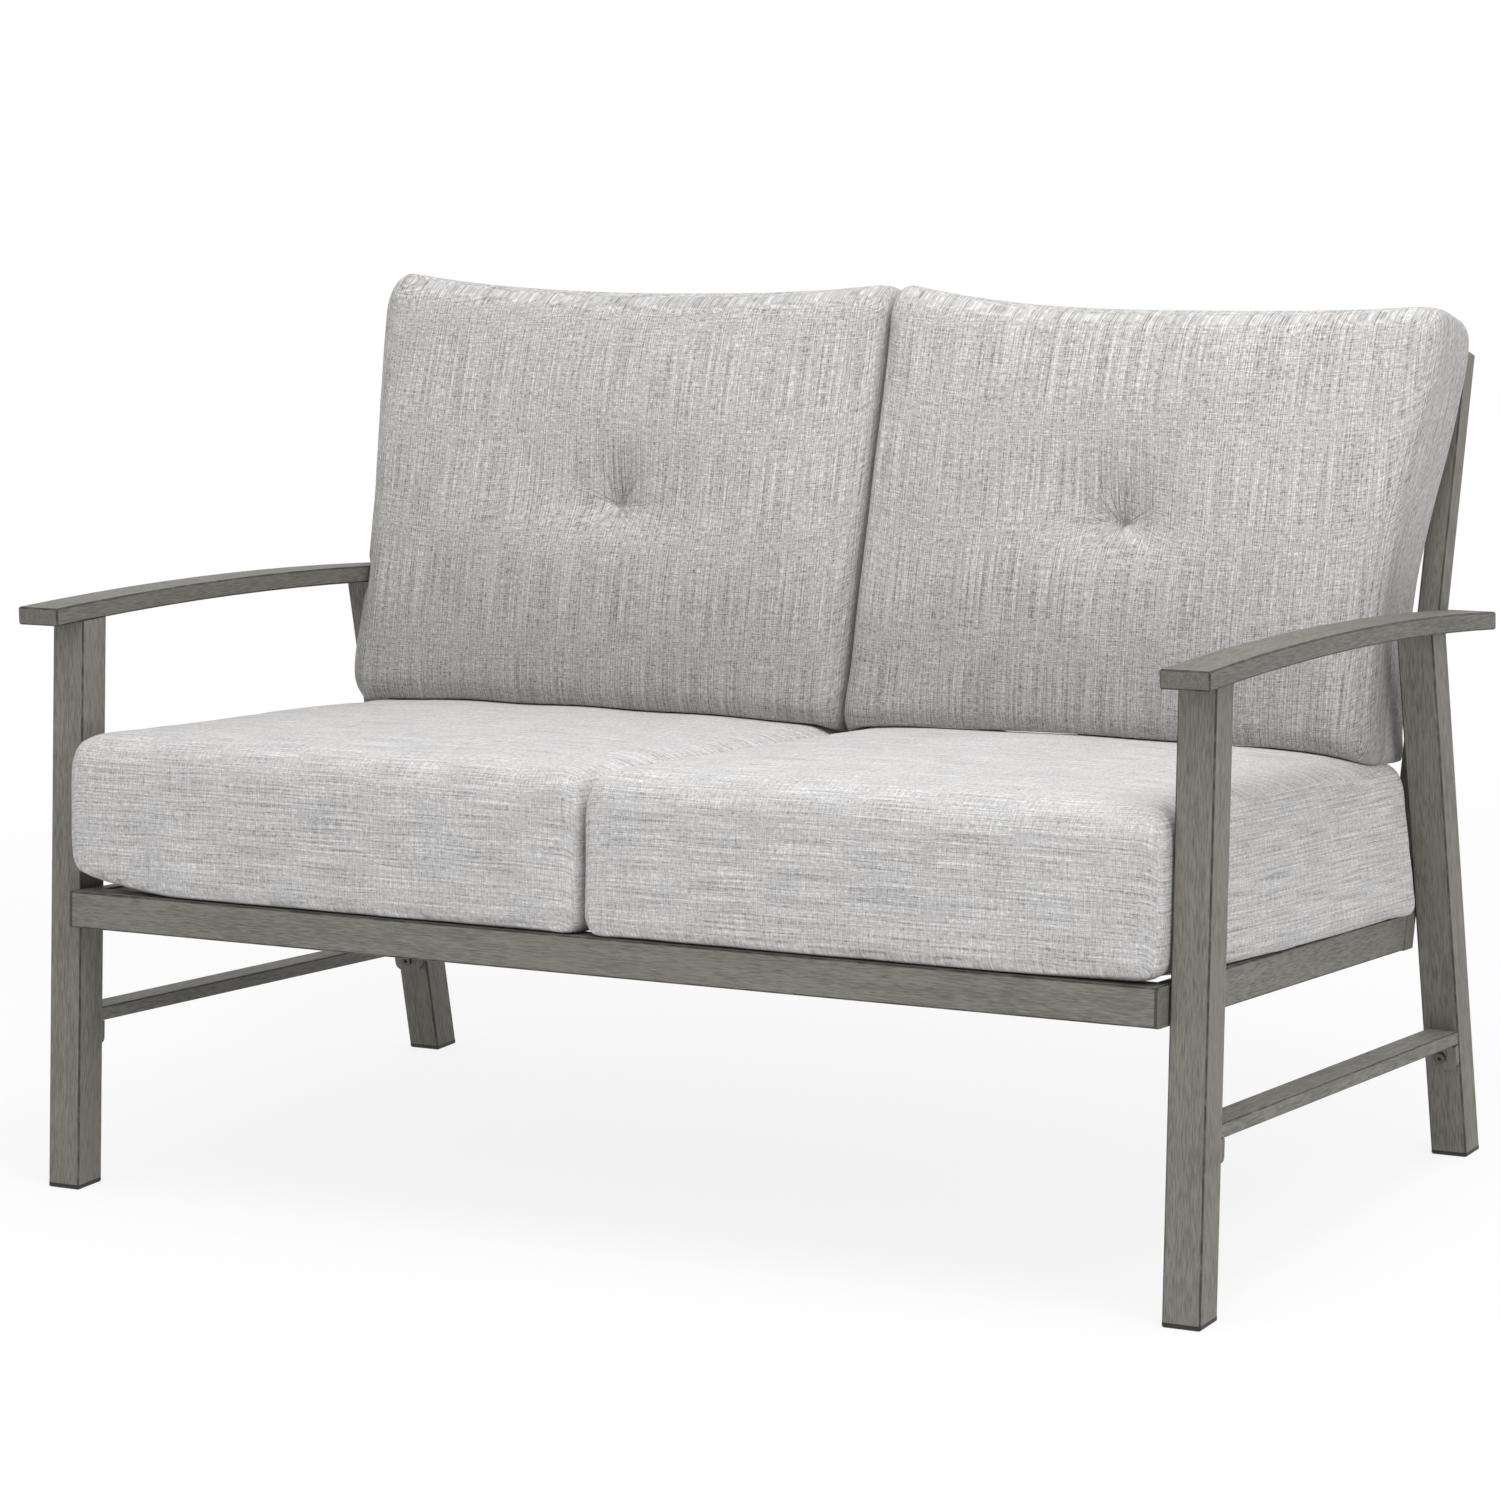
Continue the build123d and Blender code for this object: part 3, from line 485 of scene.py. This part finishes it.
# a back cushion's outer side at those heights, and its top at the inner end, middle and outer end
padForm = {
    "l": {
        "side": [0.622, 0.639, 0.645, 0.644, 0.643, 0.646, 0.651, 0.660, 0.663, 0.656],
        "top": [0.517, 0.503, 0.523], "sag": 0.0, "outerDeep": 0.009,
    },
    "r": {
        "side": [0.611, 0.616, 0.614, 0.613, 0.611, 0.613, 0.623, 0.638, 0.643, 0.638],
        "top": [0.519, 0.492, 0.500], "sag": 0.008, "outerDeep": 0.0,
    },
}
padFoot = postPoint(0.3985)
seatOrigin = deckPoint(-0.002, 0.0)
seatBack = np.array([0, math.cos(seatSlope), -math.sin(seatSlope)])
seatUp = np.array([0, math.sin(seatSlope), math.cos(seatSlope)])
padOut = np.array([0, -math.cos(backLean), math.sin(backLean)])
padUp = np.array([0, math.sin(backLean), math.cos(backLean)])


def curveThrough(knots, values, at):
    # cubic through the knots, whose slopes come from their neighbours
    knots, values = np.array(knots, float), np.array(values, float)
    slopes = np.gradient(values, knots)
    k = np.clip(np.searchsorted(knots, at) - 1, 0, len(knots) - 2)
    gap = knots[k + 1] - knots[k]
    t = np.clip((at - knots[k]) / gap, 0, 1)
    ends = values[k] * (1 + 2 * t) * (1 - t) ** 2 + values[k + 1] * t ** 2 * (3 - 2 * t)
    return ends + gap * (slopes[k] * t * (1 - t) ** 2 - slopes[k + 1] * t ** 2 * (1 - t))


def seatTopAt(x, p, cfg, seed):
    # height of a seat cushion's top: level edges, a low crown and a slow unevenness
    across = (x - cfg["inner"]) / (cfg["outer"] - cfg["inner"]) * 2 - 1
    back = p / 0.65 * 2 - 1
    full = (1 - 0.9 * np.clip(np.abs(across), 0, 1) ** 2.6) * (1 - np.clip(np.abs(back), 0, 1) ** 4)
    dent = cfg["dent"][seed] * np.clip((x - 0.54) / 0.09, 0, 1) ** 2 * np.clip((p - 0.42) / 0.12, 0, 1)
    return cfg["top"] + cfg["crown"][seed] * full - dent + cfg["topWave"] * unevenness(x, p, seed, 0.22)


def padFloor(x, p, q, seed, sag=0.0):
    # height in the back cushion's own directions at which it comes down on the seat cushion
    cfg = backCushion
    place = padFoot + p[:, None] * padOut + q[:, None] * padUp - seatOrigin
    run = np.clip(place @ seatBack, 0, 0.60)
    rise = place @ seatUp
    nearOuter = np.clip((x - 0.585) / 0.045, 0, 1) ** 2
    nearInner = np.clip((0.036 - x) / 0.036, 0, 1) ** 2
    top = seatTopAt(x, run, seatCushion, seed)
    top = top - (cfg["outerDrop"] + sag) * nearOuter - cfg["innerDrop"] * nearInner
    return q + (top + cfg["clear"] - rise) / math.cos(backLean - seatSlope)


def padUnder(deep):
    # height of that floor where the seat cushion is level, for the outline that the cushion starts from
    one = np.array([0.3])
    high = np.array([0.02])
    return float(padFloor(one, np.array([deep]), high, 3)[0])


def insetOutline(outline, insets):
    # moves each side of a convex outline in by its inset and finds the new corners
    corners = np.array(outline, float)
    along = np.roll(corners, -1, axis=0) - corners
    along /= np.linalg.norm(along, axis=1)[:, None]
    inward = np.stack([-along[:, 1], along[:, 0]], axis=1)
    level = (inward * corners).sum(1)[None, :] + insets
    found = []
    for k in range(len(corners)):
        before = (k - 1) % len(corners)
        pair = np.stack([inward[before], inward[k]])
        found.append(np.linalg.solve(pair, np.stack([level[:, before], level[:, k]])).T)
    return np.stack(found, axis=1), along


def roundOutline(corners, along, radii, arcSteps=9, sideSteps=15):
    # each corner is a parabola from one radius before it to one radius after, with even steps in between
    rings = []
    count = corners.shape[1]
    arc = np.linspace(0, 1, arcSteps)[None, :, None]
    side = np.linspace(0, 1, sideSteps + 2)[1:-1][None, :, None]
    for k in range(count):
        corner, radius = corners[:, k, None], radii[:, k, None, None]
        start = corner - along[(k - 1) % count] * radius
        end = corner + along[k] * radius
        rings.append(start * (1 - arc) ** 2 + corner * 2 * arc * (1 - arc) + end * arc ** 2)
        following = corners[:, (k + 1) % count, None] - along[k] * radii[:, (k + 1) % count, None, None]
        rings.append(end * (1 - side) + following * side)
    return np.concatenate(rings, axis=1)


def cushionShell(cfg, outline, stations=56):
    # side-view outline carried across x, its sides drawn in over quarter circles at both ends
    spread = 0.5 - 0.5 * np.cos(np.linspace(0, math.pi, stations))
    low, high = cfg["inner"] + cfg["start"], cfg["outer"] - cfg["start"]
    x = low + (high - low) * (0.45 * spread + 0.55 * np.linspace(0, 1, stations))
    insets = np.full((stations, 4), cfg["start"])
    for edges, gap in ((cfg["innerEdge"], x - low), (cfg["outerEdge"], high - x)):
        for k, radius in enumerate(edges):
            reach = np.clip(radius - gap, 0, radius)
            insets[:, k] += radius - np.sqrt(radius ** 2 - reach ** 2)
    corners, along = insetOutline(outline, insets)
    shrink = 1 - 0.45 * np.clip(insets.max(1, keepdims=True) / 0.04, 0, 1)
    ring = roundOutline(corners, along, np.array(cfg["corner"])[None, :] * shrink)
    points = np.concatenate([np.repeat(x[:, None, None], ring.shape[1], axis=1), ring], axis=2)
    caps = []
    for end in (0, -1):
        middle = points[end].mean(0, keepdims=True)
        caps.append([middle + (points[end] - middle) * share for share in (0.66, 0.33, 0.04)])
    points = np.array(caps[0][::-1] + list(points) + caps[1])
    steps, around = points.shape[:2]
    index = np.arange(steps * around).reshape(steps, around)
    here, there = index[:-1], index[1:]
    quads = np.stack([here, np.roll(here, -1, 1), np.roll(there, -1, 1), there], axis=-1).reshape(-1, 4)
    faces = quads.tolist() + [index[0, ::-1].tolist(), index[-1].tolist()]
    return points.reshape(-1, 3), faces


def meshObject(name, points, faces):
    mesh = bpy.data.meshes.new(name)
    mesh.from_pydata(points.tolist(), [], faces)
    mesh.update()
    obj = bpy.data.objects.new(name, mesh)
    scene.collection.objects.link(obj)
    return obj


def applied(obj, name):
    # a new object with the modifiers' result as its mesh, in place of the old one
    view = bpy.context.evaluated_depsgraph_get()
    mesh = bpy.data.meshes.new_from_object(obj.evaluated_get(view))
    bpy.data.objects.remove(obj)
    mesh.name = name
    new = bpy.data.objects.new(name, mesh)
    scene.collection.objects.link(new)
    return new


def readPoints(obj):
    points = np.empty(len(obj.data.vertices) * 3)
    obj.data.vertices.foreach_get("co", points)
    return points.reshape(-1, 3)


def writePoints(obj, points):
    obj.data.vertices.foreach_set("co", points.ravel())
    obj.data.update()


def inflate(obj, cfg):
    # cloth under pressure, with the distance that a point may move eased towards its cap
    rest = readPoints(obj)
    cloth = obj.modifiers.new("cloth", "CLOTH")
    value = cloth.settings
    value.quality = 5
    value.mass = 0.3
    value.tension_stiffness = 12
    value.compression_stiffness = 12
    value.shear_stiffness = 4
    value.bending_stiffness = 0.4
    value.use_pressure = True
    value.uniform_pressure_force = cfg["pressure"]
    value.effector_weights.gravity = 0
    frames = 20
    cloth.point_cache.frame_start = 1
    cloth.point_cache.frame_end = frames
    for step in range(1, frames + 1):
        scene.frame_set(step)
    view = bpy.context.evaluated_depsgraph_get()
    moved = np.empty(len(rest) * 3)
    obj.evaluated_get(view).data.vertices.foreach_get("co", moved)
    moved = moved.reshape(-1, 3) - rest
    moved -= moved.mean(0)
    length = np.linalg.norm(moved, axis=1)[:, None] + 1e-9
    moved *= cfg["cap"] * np.tanh(length / cfg["cap"]) / length
    obj.modifiers.remove(cloth)
    scene.frame_set(1)
    writePoints(obj, rest + moved)


def softLimit(value, limit, ease=0.003):
    # keeps values under a limit, easing into it over a short distance
    start = limit - ease
    return np.where(value > start, limit - ease * np.exp(-(np.maximum(value, start) - start) / ease), value)


def softFloor(value, limit, ease=0.003):
    return -softLimit(-value, -limit, ease)


def unevenness(a, b, seed, size):
    # sum of six slow waves in two directions, as wide as size
    rng = np.random.default_rng(seed)
    total = np.zeros_like(a)
    for _ in range(6):
        turn, phase = rng.uniform(0, 2 * math.pi, 2)
        wave = rng.uniform(0.7, 1.8) * 2 * math.pi / size
        total += np.sin((a * math.cos(turn) + b * math.sin(turn)) * wave + phase) / 6
    return total


def fitBox(points, low, high, cfg):
    # stretches each direction past low and high by the swell, then eases what is past them back inside
    swell = cfg["swell"]
    low, high = np.array(low), np.array(high)
    least, most = points.min(0), points.max(0)
    points = low - swell + (points - least) / (most - least) * (high - low + 2 * swell)
    return softFloor(softLimit(points, high), low)


def shapeSeat(points, side, cfg, seed):
    # low crown over level edges, pressed flat below, fuller in front of the leg and between the legs
    low, high = (cfg["inner"], cfg["front"], -cfg["sink"]), (cfg["outer"], cfg["rear"], cfg["top"])
    x, p, q = fitBox(points, low, high, cfg).T
    across = (x - cfg["inner"]) / (cfg["outer"] - cfg["inner"]) * 2 - 1
    lift = np.clip(q / cfg["top"], 0, 1.1) ** 3
    q = q + lift * (seatTopAt(x, p, cfg, seed) - cfg["top"])
    frontness = np.clip(1 - p / 0.05, 0, 1)
    high = np.clip(q / cfg["top"], 0, 1)
    belly = cfg["belly"] * (1 - across ** 2) * np.sin(math.pi * high)
    p = p - frontness * (belly + cfg["frontWave"] * unevenness(x, q, seed + 1, 0.14))
    outward = np.clip((x - 0.45) / 0.17, 0, 1) ** 2
    lip = cfg["lip"] * np.clip((0.026 - p) / 0.016, 0, 1) * np.clip(q / 0.05, 0, 1)
    between = np.clip((p - 0.10) / 0.20, 0, 1) * np.clip((0.650 - 0.02 * high - p) / 0.022, 0, 1)
    between = cfg["bulge"] * between * (0.4 + p) * (1 - 0.85 * high)
    pinch = np.clip((x - 0.50) / 0.13, 0, 1) ** 1.3 * np.clip((0.12 - p) / 0.07, 0, 1)
    q = q + cfg["lift"][seed] * pinch * np.clip(1 - q / 0.07, 0, 1)
    slot = np.maximum(np.clip((0.045 - p) / 0.04, 0, 1), np.clip((x - 0.58) / 0.04, 0, 1))
    q = q + cfg["slot"] * slot * np.clip(1 - q / 0.04, 0, 1)
    notch = np.clip((0.026 - x) / 0.026, 0, 1) * np.clip((0.04 - p) / 0.03, 0, 1)
    q = q + cfg["notch"] * notch * np.clip(1 - q / 0.05, 0, 1)
    x = x + outward * (lip + between)
    x = np.maximum(x, cfg["inner"])
    q = softFloor(q, 0.0004, 0.002)
    return np.stack([x, p, q], axis=1)


def tuftPull(x, q, cfg, seed):
    # sewn tuft: slopes in from above over a hand's breadth, turns back sharply below, and has a narrow throat
    across, up = x - cfg["tuftAcross"], q - cfg["tuftHigh"]
    reach = np.hypot(across / cfg["tuftWide"], up / np.where(up > 0, cfg["tuftAbove"], cfg["tuftBelow"]))
    turn = np.arctan2(up, across)
    pull = cfg["tuftDeep"] * (0.80 * np.exp(-reach ** 1.25) + 0.20 * np.exp(-reach / 0.16))
    rng = np.random.default_rng(seed)
    for angle, depth, spread in cfg["creases"]:
        angle = math.radians(angle + rng.uniform(-5, 5))
        off = np.abs((turn - angle + math.pi) % (2 * math.pi) - math.pi)
        line = np.exp(-(off / math.radians(spread)) ** 2)
        pull += cfg["creaseDeep"] * depth * line * np.exp(-((reach - 0.5) / 0.42) ** 2)
    return pull


def shapePad(points, side, cfg, seed):
    # crowned front, outer side and top edge led along their curves, the tuft, and the underside laid down
    low = (cfg["inner"], cfg["rear"], padUnder(cfg["deep"]) - cfg["sink"])
    high = (cfg["outer"], cfg["deep"], cfg["high"])
    x, p, q = fitBox(points, low, high, cfg).T
    form = padForm[side]
    across = (x - cfg["inner"]) / (cfg["outer"] - cfg["inner"]) * 2 - 1
    up = np.clip((q - low[2]) / (high[2] - low[2]), 0, 1)
    front = np.clip(p / cfg["deep"], 0, 1.1) ** 2
    rounding = np.where(up < 0.5, 2.1, 3.0)
    full = (1 - np.abs(across) ** 2.4) * (1 - np.abs(up * 2 - 1) ** rounding)
    p = p + front * (cfg["crown"] * full + cfg["frontWave"] * unevenness(x, q, seed, 0.24))
    p = p + front * form["outerDeep"] * np.clip(across, 0, 1) ** 2
    p = p - front * tuftPull(x, q, cfg, seed + 2)
    inner, middle, outer = form["top"]
    toInner, toOuter = np.clip(-across, 0, 1) ** 2.4, np.clip(across, 0, 1) ** 2.4
    top = middle + (inner - middle) * toInner + (outer - middle) * toOuter
    q = q + (top - cfg["high"]) * np.clip((up - 0.5) / 0.5, 0, 1) ** 2
    reach = curveThrough(cfg["sideHeights"], form["side"], q)
    x = x + (reach - cfg["outer"]) * np.clip(across * 1.3 - 0.3, 0, 1)
    fromArm = np.abs(q - cfg["armHigh"] + cfg["armSlope"] * p)
    x = softLimit(x, cfg["armSide"] + 1.1 * np.clip(fromArm - cfg["armHalf"], 0, 1), 0.004)
    p = softFloor(p, cfg["rear"], 0.002)
    floor = padFloor(x, p, q, seed - 20, form["sag"])
    q = floor + softFloor(q - floor, 0.0, 0.002)
    return np.stack([x, p, q], axis=1)


def layCloth(obj, points, offset, streak, cfg):
    # cloth coordinates in metres: each face takes the pair of directions that it faces least
    mesh = obj.data
    normals = np.empty(len(mesh.polygons) * 3)
    mesh.polygons.foreach_get("normal", normals)
    facing = np.abs(normals.reshape(-1, 3)).argmax(1)
    totals = np.empty(len(mesh.polygons), int)
    mesh.polygons.foreach_get("loop_total", totals)
    chart = np.repeat(facing, totals)
    corner = np.empty(len(mesh.loops), int)
    mesh.loops.foreach_get("vertex_index", corner)
    x, p, q = (points + offset)[corner].T
    if streak == "across":        # streaks run across the cushion, and along its side bands
        u = np.where(chart == 0, p, x)
        v = np.where(chart == 0, q + 3.0, p + q)
    else:                         # streaks run up the cushion
        u = p + q
        v = np.where(chart == 0, p + 3.0, x)
    layer = mesh.uv_layers.new(name="cloth")
    layer.data.foreach_set("uv", np.stack([u, v], axis=1).astype(np.float32).ravel())
    if "tuftHigh" in cfg:         # a second map, centred on the tuft, for the creases round it
        near = points[corner][:, [0, 2]] - (cfg["tuftAcross"], cfg["tuftHigh"])
        near[points[corner][:, 1] < 0.08] = (0.0, 1.0)
        layer = mesh.uv_layers.new(name="tuft")
        layer.data.foreach_set("uv", near.astype(np.float32).ravel())


def makeCushion(name, side, cfg, outline, shape, frameOf, streak, material, seed):
    # shell, voxel remesh, cloth simulation and one subdivision, then shaped for the right side and mirrored
    origin, axisP, axisQ = frameOf
    sign = -1 if side == "l" else 1
    points, faces = cushionShell(cfg, outline)
    shell = meshObject(name + "Shell", points, faces)
    remesh = shell.modifiers.new("remesh", "REMESH")
    remesh.mode = "VOXEL"
    remesh.voxel_size = cfg["voxel"]
    piece = applied(shell, name)
    inflate(piece, cfg)
    smooth = piece.modifiers.new("smooth", "SUBSURF")
    smooth.levels = smooth.render_levels = 1
    piece = applied(piece, name)
    points = shape(readPoints(piece), side, cfg, seed)
    writePoints(piece, points)
    layCloth(piece, points, np.array([sign * 1.7 + seed, seed * 0.37, 0]), streak, cfg)
    place = origin + points[:, 1:2] * axisP + points[:, 2:3] * axisQ
    place[:, 0] = sign * points[:, 0]
    writePoints(piece, place)
    if sign * np.linalg.det(np.stack([[1, 0, 0], axisP, axisQ])) < 0:
        piece.data.flip_normals()
    piece.data.polygons.foreach_set("use_smooth", np.ones(len(piece.data.polygons), bool))
    piece.data.materials.clear()
    piece.data.materials.append(material)
    return piece


def makeAllCushions():
    deep, high = backCushion["deep"], backCushion["high"]
    near, spare = 0.001, 0.004
    padOutline = [(near, padUnder(near) - spare), (deep, padUnder(deep) - spare), (deep, high), (near, high)]
    for side, seed in (("l", 3), ("r", 8)):
        seat = makeCushion(
            "seatCushion_" + side, side, seatCushion, seatCushion["outline"], shapeSeat,
            (seatOrigin, seatBack, seatUp), "across", seatMaterial, seed,
        )
        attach(seat, "seat_cushion_" + side)
        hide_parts("seat_cushion_" + side)
        pad = makeCushion(
            "backCushion_" + side, side, backCushion, padOutline, shapePad,
            (padFoot, padOut, padUp), "up", backMaterial, seed + 20,
        )
        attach(pad, "back_cushion_" + side)
        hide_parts("back_cushion_" + side)
        print("cushions", side, len(seat.data.polygons), len(pad.data.polygons))


makeAllCushions()


stage = {"floorSize": 30.0, "nearWhite": 0.86, "nearReach": 1.4, "farReach": 3.2,
         "floor": (0.86, 0.86, 0.86, 1), "skyLow": 0.24, "skyHigh": 0.98}


def seenDirectly(tree):
    # 1 where the camera, gloss or glass looks
    path = addNode(tree, "ShaderNodeLightPath")
    seen = math2(tree, "MAXIMUM", path.outputs["Is Camera Ray"], path.outputs["Is Glossy Ray"])
    return math2(tree, "MAXIMUM", seen, path.outputs["Is Transmission Ray"])


def makeStage(cfg):
    half = cfg["floorSize"] / 2
    corners = np.array([[-half, -half, 0], [half, -half, 0], [half, half, 0], [-half, half, 0]])
    floor = meshObject("floor", corners, [[0, 1, 2, 3]])
    material, tree, shader = startMaterial("floorPaper")
    shader.inputs["Base Color"].default_value = cfg["floor"]
    shader.inputs["Roughness"].default_value = 0.9
    shader.inputs["Specular IOR Level"].default_value = 0.1
    # plain white takes over from the shaded paper away from the furniture
    place = addNode(tree, "ShaderNodeTexCoord")
    away = addNode(tree, "ShaderNodeVectorMath", {0: place.outputs["Object"]}, operation="LENGTH")
    share = mapRange(tree, away.outputs["Value"], cfg["nearReach"], cfg["farReach"], cfg["nearWhite"], 1.0)
    white = addNode(tree, "ShaderNodeEmission", {"Color": (1, 1, 1, 1), "Strength": 1.0})
    factor = math2(tree, "MULTIPLY", seenDirectly(tree), share)
    mix = addNode(tree, "ShaderNodeMixShader", {0: factor, 1: shader.outputs[0], 2: white.outputs[0]})
    tree.links.new(mix.outputs[0], tree.nodes["Material Output"].inputs["Surface"])
    floor.data.materials.append(material)
    world = bpy.data.worlds.new("studio")
    scene.world = world
    world.use_nodes = True
    tree = world.node_tree
    tree.nodes.clear()
    # brighter overhead than at the horizon, and plain white where it is looked at
    direction = addNode(tree, "ShaderNodeTexCoord")
    rise = addNode(tree, "ShaderNodeSeparateXYZ", {0: direction.outputs["Generated"]}).outputs[2]
    glow = mapRange(tree, rise, 0.0, 1.0, cfg["skyLow"], cfg["skyHigh"])
    strength = mapRange(tree, seenDirectly(tree), 0.0, 1.0, glow, 1.0)
    sky = addNode(tree, "ShaderNodeBackground", {"Color": (1, 1, 1, 1), "Strength": strength})
    out = addNode(tree, "ShaderNodeOutputWorld")
    tree.links.new(sky.outputs[0], out.inputs["Surface"])


lamps = [
    {"name": "topLamp", "place": (1.0, -0.8, 3.2), "aim": (0, 0, 0.4), "size": 1.8, "power": 56},
    {"name": "rightLamp", "place": (3.6, -1.6, 1.9), "aim": (0, 0, 0.5), "size": 1.6, "power": 14},
    {"name": "frontLamp", "place": (-0.8, -4.2, 1.7), "aim": (0, 0, 0.5), "size": 2.6, "power": 8},
]


def makeLamps():
    for cfg in lamps:
        data = bpy.data.lights.new(cfg["name"], "AREA")
        data.size = cfg["size"]
        data.energy = cfg["power"]
        obj = bpy.data.objects.new(cfg["name"], data)
        scene.collection.objects.link(obj)
        obj.location = cfg["place"]
        obj.rotation_euler = (Vector(cfg["aim"]) - Vector(cfg["place"])).to_track_quat("-Z", "Y").to_euler()


makeStage(stage)
makeLamps()
scene.view_settings.view_transform = "Standard"
print("stage lit")
